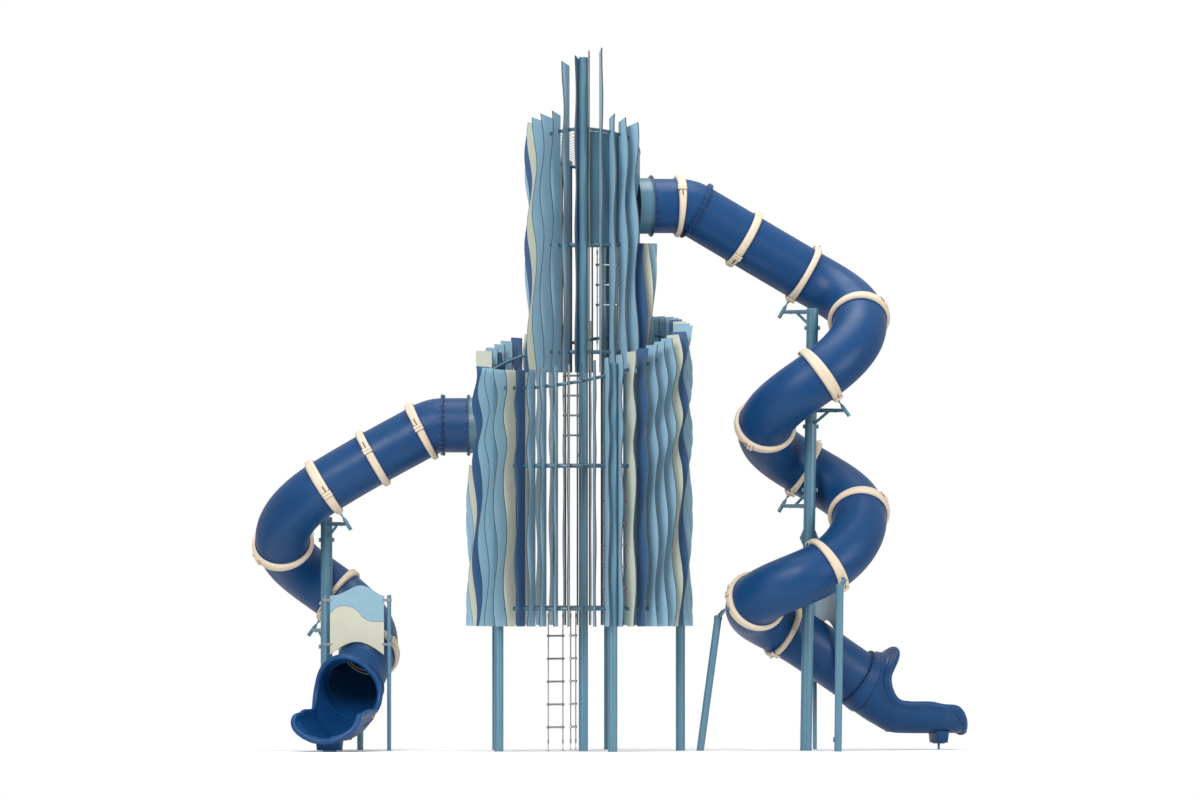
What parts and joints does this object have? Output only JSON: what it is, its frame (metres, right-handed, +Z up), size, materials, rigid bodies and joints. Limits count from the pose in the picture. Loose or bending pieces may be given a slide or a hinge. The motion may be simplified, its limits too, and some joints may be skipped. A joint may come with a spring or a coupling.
{
  "type": "playground play structure",
  "caption": "Tall round play tower of upright wavy boards, with enclosed spiral tube slides, decks, rope ladders and guard panels on steel posts.",
  "frame": {"origin": "centre of the tall front post's foot, on the ground", "axes": "+Z up, +X to the viewer's right in the front elevation, +Y away from that viewer"},
  "size_m": [10.2898, 3.8488, 10.01],
  "materials": {
    "teal_steel": "satin powder coat",
    "blue_plastic": "rotomoulded, low sheen",
    "coloured_board": "solid coloured board with a fine satin grain",
    "deck_sheet": "anti-slip coating",
    "ladder_rope": "braided rope with aluminium rungs",
    "panel_sheet": "satin"
  },
  "bodies": {
    "root": {"tall_post": "teal_steel", "lower_post_1": "teal_steel", "lower_post_2": "teal_steel", "lower_post_3": "teal_steel", "lower_post_4": "teal_steel", "lower_post_5": "teal_steel", "lower_top_ring": "teal_steel", "upper_top_ring": "teal_steel", "deck_1": "deck_sheet", "deck_2": "deck_sheet", "deck_3": "deck_sheet", "deck_4": "deck_sheet", "lower_fins_1": "coloured_board", "lower_fins_2": "coloured_board", "lower_fins_3": "coloured_board", "lower_fins_4": "coloured_board", "lower_fins_5": "coloured_board", "upper_fins_1": "coloured_board", "upper_fins_2": "coloured_board", "upper_fins_3": "coloured_board", "upper_fins_4": "coloured_board", "upper_fins_5": "coloured_board", "lower_entry_wall": "teal_steel", "upper_entry_wall": "teal_steel", "ladder_ground_left": "ladder_rope", "ladder_ground_right": "ladder_rope", "ladder_first_floor": "ladder_rope", "ladder_second_floor": "ladder_rope", "ladder_top_floor": "ladder_rope", "right_tube_1": "blue_plastic", "right_tube_2": "blue_plastic", "right_tube_3": "blue_plastic", "right_tube_4": "blue_plastic", "right_tube_5": "blue_plastic", "right_tube_6": "blue_plastic", "right_tube_7": "blue_plastic", "right_tube_8": "blue_plastic", "right_tube_9": "blue_plastic", "right_tube_10": "blue_plastic", "right_tube_11": "blue_plastic", "right_exit": "blue_plastic", "left_tube_1": "blue_plastic", "left_tube_2": "blue_plastic", "left_tube_3": "blue_plastic", "left_tube_4": "blue_plastic", "left_tube_5": "blue_plastic", "left_tube_6": "blue_plastic", "left_exit": "blue_plastic", "right_main_post": "teal_steel", "right_front_post": "teal_steel", "right_leaning_post": "teal_steel", "right_panel_post_near": "teal_steel", "right_panel_post_far": "teal_steel", "right_panel": "panel_sheet", "left_main_post": "teal_steel", "left_rear_post": "teal_steel", "left_panel_post_left": "teal_steel", "left_panel_post_right": "teal_steel", "left_panel": "panel_sheet"}
  },
  "joints": []
}
